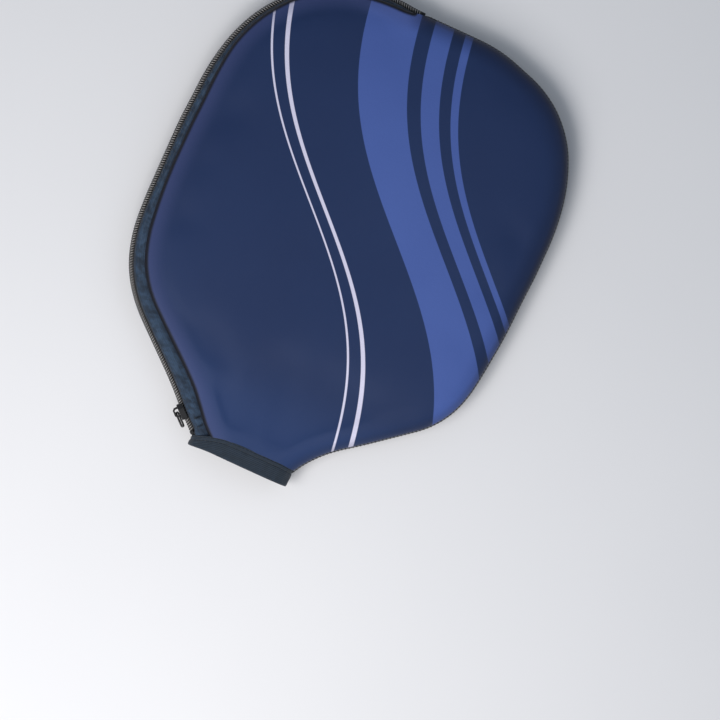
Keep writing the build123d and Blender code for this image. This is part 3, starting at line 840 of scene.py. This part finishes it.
def strip(profile, thick, s0, s1, step, upper, name, mats, n_across=26):
    """A thin band along the zip: profile is a list of (out, z) from the coil inwards."""
    prof = np.array(profile, float)
    t = np.linspace(0, 1, n_across)
    prof = catmull(prof, t)
    d = np.gradient(prof, axis=0)
    d /= np.linalg.norm(d, axis=1, keepdims=True)
    nrm = np.stack([-d[:, 1], d[:, 0]], -1)
    if (nrm[len(nrm) // 2, 0] < 0):
        nrm = -nrm
    ns = int((s1 - s0) / step)
    across = np.concatenate([[0], np.cumsum(np.linalg.norm(np.diff(prof, axis=0), axis=1))])
    grids = []
    for side in (0.5, -0.5):
        q = prof + nrm * thick * side
        rows = []
        start = tape_start(prof[:, 0])
        for j in range(ns + 1):
            s = start + (s1 - start) * j / ns
            o = q[:, 0] + 0 * s
            z = q[:, 1] + 0 * s
            z = z + wrinkles(s, o, upper)
            # its end spreads out to fill the corner of the throat band
            o = o + 1.0 * smooth(0.6, -1.8, s) * smooth(-2.5, 0.2, o)
            o, z = splay(s, o, z, upper)
            p = LEFT.at(s) + LEFT.normal(s) * o[:, None]
            rows.append(np.dstack([p[None, :, 0], p[None, :, 1], z[None]])[0])
        grids.append(np.array(rows))
    top, under = grids
    # its sewn side never pokes through the panel
    deep, xy = prof[:, 0] < -3.5, (top[..., :2] + under[..., :2]) / 2
    if upper:
        off = np.minimum(front_height(xy, rim_line(RIM_TABLE), True) - 0.25 - np.maximum(top[..., 2], under[..., 2]), 0)
    else:
        off = np.maximum(back_height(xy, rim_line(RIM_BACK), True) + 0.25 - np.minimum(top[..., 2], under[..., 2]), 0)
    for g in grids:
        g[..., 2] += off * deep
    verts, faces, index = slab(top, under)
    # turn the faces outwards if they came out inside out
    a, b, c = verts[faces[0][0]], verts[faces[0][1]], verts[faces[0][2]]
    outward = top[0, 0] - under[0, 0]
    if np.cross(b - a, c - a) @ outward < 0:
        faces = faces[:, ::-1]
    s_at = np.tile(np.linspace(s0, s1, ns + 1)[:, None], (1, n_across))
    w_at = np.tile(across[None], (ns + 1, 1))
    rest = np.dstack([s_at, w_at, 0 * s_at]).reshape(-1, 3) / 1000
    return new_object(name, W(verts), faces, mats, None, 50.0, {"rest": np.vstack([rest, rest])})


def catmull(p, t):
    """A smooth line through points p at parameters t in 0..1."""
    p = np.asarray(p, float)
    q = np.vstack([2 * p[0] - p[1], p, 2 * p[-1] - p[-2]])
    n = len(p) - 1
    x = np.clip(np.asarray(t) * n, 0, n - 1e-9)
    i = x.astype(int)
    f = (x - i)[:, None]
    a, b, c, d = q[i], q[i + 1], q[i + 2], q[i + 3]
    return 0.5 * (2 * b + (c - a) * f + (2 * a - 5 * b + 4 * c - d) * f**2 + (3 * b - a - 3 * c + d) * f**3)


TAPE_FRONT = [(0.6, 12.25), (0.6, 14.0), (0.58, 15.3), (0.15, 16.5), (-1.1, 17.3), (-3.0, 17.85), (-5.0, 18.0), (-7.2, 17.75), (-9.6, 17.6)]
TAPE_BACK = [(0.6, 11.75), (0.6, 9.9), (0.58, 8.5), (0.15, 7.3), (-0.9, 6.0), (-2.6, 4.75), (-4.6, 3.9), (-7.0, 3.45), (-9.6, 3.4)]
def tape_start(o):
    """Where each line of the tape begins, a little below the throat band's upper edge."""
    o = np.asarray(o, float)
    s = np.full(o.shape, -3.0)
    for _ in range(30):
        q = LEFT.at(s) + LEFT.normal(s) * o[:, None]
        s = s + 0.6 * ((throat_edge(q[:, 0]) - np.where(o > -0.3, 3.6, 4.6)) - q[:, 1])
    return s


front_tape = strip(TAPE_FRONT, 0.55, -2.6, LEFT.end - 0.3, 0.6, True, "front_tape_cloth", M_TAPE, 30)
back_tape = strip(TAPE_BACK, 0.55, -2.6, LEFT.end - 0.3, 0.6, False, "back_tape_cloth", M_TAPE, 30)


# ---------------------------------------------------------------------------
# Coils: one filament wound into every tooth of a row
# ---------------------------------------------------------------------------
PITCH = 1.5


COIL_END = LEFT.end - 2.6


def coil_row(name, upper):
    s0, s1 = 0.9, COIL_END
    turns = int((s1 - s0) / PITCH)
    per = 18
    turn = np.arange(turns * per + 1) / per
    frac = turn % 1.0
    # each tooth's head lies square to the chain; at its heel the filament steps on to the next tooth
    step = np.floor(turn) + np.clip((frac - 0.02) / 0.46, 0, 1)
    s = s0 + PITCH * step + (0.0 if upper else PITCH / 2)
    a = 2 * math.pi * turn
    c, sn = np.cos(a), np.sin(a)
    o = (2.18 if upper else 2.42) + 1.05 * np.sign(c) * np.abs(c) ** 0.8
    dz = 1.50 * np.sign(sn) * np.abs(sn) ** 0.8
    o, z = splay(s, o, (13.10 + dz) if upper else (10.90 - dz), upper)
    p = LEFT.at(s) + LEFT.normal(s) * o[:, None]
    pts = np.column_stack([p, z])
    r = 0.27 + 0.05 * np.clip(-sn, 0, 1)
    v, f = tube(pts, r, 8)
    # painted light: the tops of the teeth are painted bright and their sides dark, and the hidden back row is painted
    # darker still, as the light falls on them
    tooth_light_weight = smooth(0.35, 0.92, np.repeat(sn, 8)) * (1.0 if upper else 0.35)
    return new_object(name, W(v), f, M_COIL, None, None, {"rest": v / 1000, "painted_tooth_light": np.column_stack([tooth_light_weight, tooth_light_weight, tooth_light_weight])})


def coil_core(name, upper):
    """The filler cord inside a coil, and the thread that sews the coil to its tape; its outer row is made thick and
    near black to stand in for shade along the chain's outer edge.
    """
    s = np.arange(-3.6, COIL_END, 1.2)
    o, z = splay(s, np.full(len(s), 1.90 if upper else 2.14), np.full(len(s), 13.2 if upper else 10.8), upper)
    p = LEFT.at(s) + LEFT.normal(s) * o[:, None]
    parts = [tube(np.column_stack([p, z]), 1.22 + 0.03 * np.sin(s * 2.1), 12, squash=0.46)]
    fine = np.arange(1.2, COIL_END, 0.5)
    n2 = LEFT.normal(fine)
    # the outer thread is a real sewing thread, made thick and near black as painted shade along the chain's outer edge
    for o0, z0, m in ((3.58 if upper else 3.62, 13.5 if upper else 10.5, (1.0, 0.0)), (0.86, 15.0 if upper else 9.0, (0.35, 0.94 if upper else -0.94))):
        o, z = splay(fine, np.full(len(fine), o0), np.full(len(fine), z0), upper)
        pts = np.column_stack([LEFT.at(fine) + n2 * o[:, None], z])
        nr = np.column_stack([n2 * m[0], np.full(len(fine), m[1])])
        # the back row's outer thread starts past the slider's lowest place
        keep = fine > (9.6 if o0 > 2 and not upper else 0)
        pts, nr = pts[keep], nr[keep]
        parts.append(stitches(pts, nr, PITCH, 1.42, 0.20 if o0 > 2 else 0.12))
    v, f = join(parts)
    return new_object(name, W(v), f, M_CORD, None, None)


front_coil = coil_row("front_teeth", True)
back_coil = coil_row("back_teeth", False)
front_cord = coil_core("front_coil_cord", True)
back_cord = coil_core("back_coil_cord", False)


def crown_stop():
    """A crimped metal band round both rows where the zip ends."""
    s_mid = COIL_END + 0.2
    q = LEFT.at(np.array([s_mid]))[0]
    n2 = LEFT.normal(np.array([s_mid]))[0]
    t2 = np.array([-n2[1], n2[0]])
    o_mid = 2.3 + float(dive(s_mid))
    bm = bmesh.new()
    bmesh.ops.create_cube(bm, size=1.0)
    for v in bm.verts:
        o, z, k = v.co.x * 2.9, v.co.y * 6.2, v.co.z * 2.3
        v.co = (*(q + n2 * (o_mid + o) + t2 * k), 12.0 + z)
    bmesh.ops.bevel(bm, geom=list(bm.edges), offset=0.55, segments=3, profile=0.6, affect="EDGES")
    for v in bm.verts:
        k = float((np.array([v.co.x, v.co.y]) - q) @ t2)
        z = v.co.z - 12.0
        pinch = 1 - 0.16 * math.exp(-((k / 0.5) ** 2))
        o = float((np.array([v.co.x, v.co.y]) - q) @ n2) - o_mid
        xy = q + n2 * (o_mid + o * pinch) + t2 * k
        v.co = (xy[0], xy[1], 12.0 + z * (1 - 0.05 * math.exp(-((k / 0.5) ** 2))))
    for v in bm.verts:
        v.co = tuple(W(np.array(v.co)))
    bmesh.ops.recalc_face_normals(bm, faces=bm.faces)
    mesh = bpy.data.meshes.new("crown_crimp")
    bm.to_mesh(mesh)
    bm.free()
    mesh.materials.append(M_METAL)
    mesh.shade_smooth()
    mesh.set_sharp_from_angle(angle=math.radians(40))
    ob = bpy.data.objects.new("crown_crimp", mesh)
    bpy.context.scene.collection.objects.link(ob)
    return ob


crimp = crown_stop()


# ---------------------------------------------------------------------------
# Throat band
# ---------------------------------------------------------------------------
BAND_LINE = [
    (-36.0, 12.35), (-35.8, 14.0), (-34.6, 16.2), (-31.6, 18.3), (-27.6, 19.9), (-22.5, 21.1), (-15.0, 22.0), (-5.0, 22.6),
    (5.0, 22.4), (12.0, 21.6), (18.0, 20.2), (22.8, 17.9), (25.8, 14.9), (26.8, 12.0), (26.2, 8.8), (23.6, 5.2), (18.6, 2.5),
    (12.0, 1.0), (4.0, 0.78), (-6.0, 0.76), (-16.0, 0.78), (-23.6, 1.2), (-29.4, 2.8), (-33.4, 5.7), (-35.5, 8.6), (-36.0, 11.6),
]


def band_piece(name, t0, t1):
    line = catmull(np.array(BAND_LINE), np.linspace(0, 1, 1200))
    a, b = int(t0 * 1199), int(t1 * 1199)
    line = line[a : b + 1]
    line = resample(line, np.linspace(0, 1, 150))
    d = np.gradient(line, axis=0)
    d /= np.linalg.norm(d, axis=1, keepdims=True)
    nrm = np.stack([-d[:, 1], d[:, 0]], -1)          # outwards, the line runs clockwise in x, z
    length = np.concatenate([[0], np.cumsum(np.linalg.norm(np.diff(line, axis=0), axis=1))])
    y0, y1 = throat_edge(line[:, 0]) + 0.7, throat_foot(line[:, 0])
    t = np.concatenate([[0, 0.012, 0.035], np.linspace(0.07, 0.93, 24), [0.965, 0.988, 1.0]])
    top = np.zeros((len(t), len(line), 3))
    under = np.zeros_like(top)
    for j, k in enumerate(t):
        y = y0 + (y1 - y0) * k
        w = (y0 - y1) * k                                # down from the upper selvedge, mm
        e = min(k, 1 - k) * 11.0
        thin = 1 - 0.45 * math.exp(-((e / 0.45) ** 2))
        # the stitch line draws the webbing in, and it gathers in fine waves below it
        groove = -0.30 * np.exp(-(((w - 3.0) / 0.45) ** 2)) - 0.16 * np.exp(-(((w - 0.9) / 0.35) ** 2))
        wave = (0.09 * np.sin(length / 0.78 + 1.3 * np.sin(length / 9.0)) + 0.10 * np.sin(length / 3.1 + 0.4 * w)) * smooth(2.0, 5.0, w) * smooth(0, 1.5, e)
        for g, side in ((top, 0.7), (under, -0.7)):
            q = line + nrm * (side * thin + (groove + wave) * (1.0 if side > 0 else 0.4))[:, None]
            g[j, :, 0], g[j, :, 1], g[j, :, 2] = q[:, 0], y, np.maximum(q[:, 1], 0.02)
    verts, faces, _ = slab(top, under)
    a3, b3, c3 = verts[faces[0][0]], verts[faces[0][1]], verts[faces[0][2]]
    if np.cross(b3 - a3, c3 - a3) @ (top[0, 0] - under[0, 0]) < 0:
        faces = faces[:, ::-1]
    across = (y0[None] - y1[None]) * t[:, None]
    rest = np.dstack([np.tile(length[None], (len(t), 1)), across, 0 * top[..., 0]]).reshape(-1, 3) / 1000
    ob = new_object(name, W(verts), faces, M_ELASTIC, None, 50.0, {"rest": np.vstack([rest, rest])})
    return ob, line, nrm, length


k_mid = 13 / (len(BAND_LINE) - 1)
band_front, bf_line, bf_nrm, bf_len = band_piece("throat_elastic_front", 0.0, k_mid)
band_back, bb_line, bb_nrm, bb_len = band_piece("throat_elastic_back", k_mid + 0.002, 1.0)


# ---------------------------------------------------------------------------
# Side seam: overlocked edge
# ---------------------------------------------------------------------------
def seam_bead():
    s = np.append(np.arange(0.6, RIGHT.end - 1.6, 1.2), RIGHT.end - 0.9)
    p = RIGHT.at(s, 0.08)
    # past the crown it tucks in under the end of the zip
    more = np.array([0.5, 1.6, 2.8, 4.2])
    tuck = LEFT.at(LEFT.end - more) - LEFT.normal(LEFT.end - more) * (0.1 + 0.28 * more)[:, None]
    p = np.vstack([p, tuck])
    side = np.vstack([RIGHT.normal(s), LEFT.normal(LEFT.end - more)])
    s = np.append(s, RIGHT.end + more)
    pts = np.column_stack([p, np.full(len(s), 12.0)])
    ang = np.arange(12) * 2 * math.pi / 12
    nrm = np.column_stack([side, np.zeros(len(s))])
    up = np.array([0, 0, 1.0])
    v = pts[:, None] + 0.60 * np.cos(ang)[None, :, None] * nrm[:, None] + 0.95 * np.sin(ang)[None, :, None] * up
    faces = grid_faces(12, len(s), wrap_u=True).tolist()
    faces += [list(range(12))[::-1], list(range((len(s) - 1) * 12, len(s) * 12))]
    verts = v.reshape(-1, 3)
    rest = np.column_stack([np.repeat(s, 12), np.tile(ang * 0.95, len(s)), np.zeros(len(s) * 12)]) / 1000
    a, b, c = verts[faces[0][0]], verts[faces[0][1]], verts[faces[0][2]]
    if np.cross(b - a, c - a) @ (a - pts[0]) < 0:
        faces = [f[::-1] for f in faces]
    return new_object("side_seam_edge", W(verts), faces, M_BIAS, None, 60.0, {"rest": rest})


def overlock():
    """Loops of thread over the raw edges, with the needle thread's short dashes above and below them."""
    parts = []
    pitch = 2.3
    for s in np.arange(1.6, RIGHT.end - 1.4, pitch):
        u = np.linspace(0, 1, 9)
        ang = np.radians(112 - 224 * u)
        ss = s + pitch * 0.55 * u
        p = RIGHT.at(ss) + RIGHT.normal(ss) * (0.06 + 0.78 * np.cos(ang))[:, None]
        parts.append(tube(np.column_stack([p, 12.0 + 1.18 * np.sin(ang)]), 0.15, 5))
    v, f = join(parts)
    loops = new_object("overlock_threads", W(v), f, M_THREAD, None, None)
    s = np.arange(2.0, RIGHT.end - 4.0, 0.8)
    n2 = RIGHT.normal(s)
    parts = []
    for z, up in ((13.75, 0.30), (10.25, -0.30)):
        pts = np.column_stack([RIGHT.at(s, -0.05), np.full(len(s), z)])
        parts.append(stitches(pts, np.column_stack([n2 * 0.95, np.full(len(s), up)]), 2.3, 1.5, 0.16))
    v, f = join(parts)
    return loops, new_object("needle_threads", W(v), f, M_THREAD_LIGHT, None, None)


seam_edge = seam_bead()
seam_threads, needle_threads = overlock()


# ---------------------------------------------------------------------------
# Stitches
# ---------------------------------------------------------------------------
def surface_stitches(points, normals, pitch, length, radius, name, mat):
    v, f = stitches(points, normals, pitch, length, radius)
    return new_object(name, W(v), f, mat, None, None)


def band_row(line, nrm, name):
    parts = []
    for down, pitch, length, lift in ((3.0, 2.7, 2.1, 0.42), (0.9, 2.7, 2.0, 0.55)):
        y = throat_edge(line[:, 0]) + 0.7 - down
        pts = np.column_stack([line[:, 0] + nrm[:, 0] * lift, y, line[:, 1] + nrm[:, 1] * lift])
        nr = np.column_stack([nrm[:, 0], np.zeros(len(line)), nrm[:, 1]])
        parts.append(stitches(pts, nr, pitch, length, 0.17))
    v, f = join(parts)
    return new_object(name, W(v), f, M_THREAD, None, None)


band_stitch_front = band_row(bf_line[3:-2], bf_nrm[3:-2], "throat_stitches_front")
band_stitch_back = band_row(bb_line[2:-3], bb_nrm[2:-3], "throat_stitches_back")


def bar_tacks():
    """Dense zigzag tacks that hold the zip's end, across the front tape."""
    prof = catmull(np.array(TAPE_FRONT), np.linspace(0, 1, 300))
    parts = []
    for s_mid, o0, o1 in ((1.2, -1.6, -5.2), (6.4, -2.0, -6.0)):
        n = 20
        pts = []
        for k in range(n):
            o = o0 + (o1 - o0) * k / (n - 1)
            i = int(np.argmin(np.abs(prof[:, 0] - o) + 10 * (prof[:, 1] < 15)))
            d = prof[min(i + 1, 299)] - prof[i - 1]
            d /= np.linalg.norm(d)
            m = np.array([-d[1], d[0]])
            m = m if m[1] > 0 else -m
            s = s_mid + (0.75 if k % 2 else -0.75)
            oo, zz = splay(np.array([s]), np.array([o]), np.array([prof[i, 1]]), True)
            zz = zz + wrinkles(np.array([s]), oo, True)
            q = LEFT.at(np.array([s]))[0] + LEFT.normal(np.array([s]))[0] * (oo[0] + m[0] * 0.36)
            pts.append([q[0], q[1], zz[0] + m[1] * 0.36])
        parts.append(tube(np.array(pts), 0.13, 6))
    v, f = join(parts)
    return new_object("bar_tack_threads", W(v), f, M_TACK, None, None)


tacks = bar_tacks()


def tape_row(profile, o_at, name, upper):
    prof = catmull(np.array(profile), np.linspace(0, 1, 200))
    k = int(np.argmin(np.abs(prof[:, 0] - o_at)))
    d = prof[k + 1] - prof[k - 1]
    d /= np.linalg.norm(d)
    m = np.array([-d[1], d[0]])
    if (m[1] > 0) != upper:
        m = -m
    s = np.arange(9.0, LEFT.end - 16, 0.7)
    o, z = splay(s, np.full(len(s), prof[k, 0]), prof[k, 1] + wrinkles(s, np.full(len(s), prof[k, 0]), upper), upper)
    p = LEFT.at(s) + LEFT.normal(s) * (o + m[0] * 0.3)[:, None]
    n2 = LEFT.normal(s)
    pts = np.column_stack([p, z + m[1] * 0.3])
    nr = np.column_stack([n2 * m[0], np.full(len(s), m[1])])
    return surface_stitches(pts, nr, 2.9, 2.3, 0.14, name, M_THREAD)


tape_stitch_front = tape_row(TAPE_FRONT, -0.5, "tape_stitches_front", True)
tape_stitch_back = tape_row(TAPE_BACK, -0.5, "tape_stitches_back", False)


# ---------------------------------------------------------------------------
# Inner bindings over the sewn edges of the tapes
# ---------------------------------------------------------------------------
def inner_binding(name, z0, z1):
    s = np.arange(9.0, LEFT.end - 5.0, 1.6)
    sec = []
    for a in np.linspace(0, 2 * math.pi, 14, endpoint=False):
        e = 0.35
        ca, sa = math.cos(a), math.sin(a)
        sec.append((-8.6 + 1.55 * math.copysign(abs(ca) ** e, ca), (z0 + z1) / 2 + (z1 - z0) / 2 * math.copysign(abs(sa) ** e, sa)))
    sec = np.array(sec)
    nrm = LEFT.normal(s)
    base = LEFT.at(s)
    v = np.zeros((len(s), len(sec), 3))
    v[..., :2] = base[:, None] + nrm[:, None] * sec[None, :, 0, None]
    v[..., 2] = sec[None, :, 1] + 0.06 * np.sin(s / 1.9)[:, None]
    verts = v.reshape(-1, 3)
    n = len(sec)
    faces = grid_faces(n, len(s), wrap_u=True).tolist() + [list(range(n))[::-1], list(range((len(s) - 1) * n, len(s) * n))]
    a, b, c = verts[faces[0][0]], verts[faces[0][1]], verts[faces[0][2]]
    if np.cross(b - a, c - a) @ (a - v[0].mean(0)) < 0:
        faces = [f[::-1] for f in faces]
    rest = np.column_stack([np.repeat(s, n), np.tile(np.arange(n) * 0.4, len(s)), np.zeros(len(verts))]) / 1000
    return new_object(name, W(verts), faces, M_BIAS, None, 50.0, {"rest": rest})


bind_front = inner_binding("inner_binding_cloth_front", 16.75, 17.95)
bind_back = inner_binding("inner_binding_cloth_back", 2.95, 4.15)


# ---------------------------------------------------------------------------
# Metal: the CAD nodes stay, with a worn gunmetal finish
# ---------------------------------------------------------------------------
for node in ("slider_body", "pull_loop", "zip_throat_stop_front", "zip_throat_stop_back"):
    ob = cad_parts[node]
    for i in range(len(ob.data.materials)):
        ob.data.materials[i] = M_METAL
    if not ob.data.materials:
        ob.data.materials.append(M_METAL)


def on_leaf(ob, slot, *nodes):
    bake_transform(ob)
    if nodes:
        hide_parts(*nodes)


def on_root(ob, slot, *nodes):
    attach(ob, "root")
    if nodes:
        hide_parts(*nodes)


on_leaf(front_panel, "printed_neoprene", "front_panel_flap", "front_panel_fixed")
on_leaf(front_tape, "zip_tape", "front_zip_tape")
on_leaf(front_coil, "zip_coil", "front_zip_coil")
on_leaf(front_cord, "overlock_thread")
on_leaf(tacks, "overlock_thread")
on_leaf(band_front, "elastic_webbing", "throat_band_front")
on_leaf(band_stitch_front, "overlock_thread")
on_leaf(tape_stitch_front, "overlock_thread")
on_leaf(bind_front, "binding_tape", "inner_binding_front")
on_root(back_panel, "plain_neoprene", "back_panel")
on_root(back_tape, "zip_tape", "back_zip_tape")
on_root(back_coil, "zip_coil", "back_zip_coil")
on_root(back_cord, "overlock_thread")
on_root(crimp, "dark_metal", "zip_crown_stop")
on_root(band_back, "elastic_webbing", "throat_band_back")
on_root(band_stitch_back, "overlock_thread")
on_root(tape_stitch_back, "overlock_thread")
on_root(bind_back, "binding_tape", "inner_binding_back")
on_root(seam_edge, "binding_tape", "side_seam_binding")
on_root(seam_threads, "overlock_thread")
on_root(needle_threads, "overlock_thread")


def outline_area():
    p, _ = dense_outline()
    x, y = p[:, 0], p[:, 1]
    return abs((x * np.roll(y, -1) - y * np.roll(x, -1)).sum()) / 2e6


# ---------------------------------------------------------------------------
# Stage, light and camera
# ---------------------------------------------------------------------------
def stage():
    n = N("floor")
    v = n.coord()
    g = n.noise(v, 3.0, 3.0)
    n.set(Base_Color=n.mix(g, (0.68, 0.69, 0.71), (0.74, 0.745, 0.76)), Roughness=0.9, Specular_IOR_Level=0.2)
    mesh = bpy.data.meshes.new("floor")
    mesh.from_pydata([(-6, -6, 0), (6, -6, 0), (6, 6, 0), (-6, 6, 0)], [], [(0, 1, 2, 3)])
    mesh.materials.append(n.mat)
    ob = bpy.data.objects.new("floor", mesh)
    ob.location.z = -0.0002
    bpy.context.scene.collection.objects.link(ob)

    world = bpy.data.worlds.new("studio")
    bpy.context.scene.world = world
    world.use_nodes = True
    bg = world.node_tree.nodes["Background"]
    bg.inputs[0].default_value = (0.80, 0.88, 1.0, 1)
    bg.inputs[1].default_value = 0.34

    def area(name, loc, size, power, colour):
        light = bpy.data.lights.new(name, "AREA")
        light.shape, light.size, light.energy, light.color = "SQUARE", size, power, colour
        ob = bpy.data.objects.new(name, light)
        ob.location = loc
        from mathutils import Vector
        ob.rotation_euler = (Vector((0, 0, 0)) - Vector(loc)).to_track_quat("-Z", "Y").to_euler()
        bpy.context.scene.collection.objects.link(ob)

    area("key_low", (-0.08, -0.66, 0.70), 0.6, 6.4, (1.0, 0.96, 0.93))
    area("key_high", (-0.52, -0.58, 1.12), 0.6, 5.2, (1.0, 0.97, 0.95))
    area("fill", (1.3, 0.9, 1.6), 1.8, 5, (0.86, 0.92, 1.0))


stage()

cam_data = bpy.data.cameras.new("camera")
cam = bpy.data.objects.new("camera", cam_data)
bpy.context.scene.collection.objects.link(cam)
bpy.context.scene.camera = cam
look = W(np.array([36.0, 79.1, 22.0]))
HEIGHT = 1.60
cam.location = (look[0], look[1], look[2] + HEIGHT)
cam.rotation_euler = (0, 0, math.atan2(0.4195, 0.9078))
cam_data.sensor_width = 36.0
cam_data.lens = 36.0 * (HEIGHT + 0.010) / 0.4317   # the picture is 431.7 mm wide at the zip's height
cam_data.clip_end = 20
cam_data.dof.use_dof = False
bpy.context.scene.view_settings.view_transform = "Standard"

bpy.context.view_layer.update()
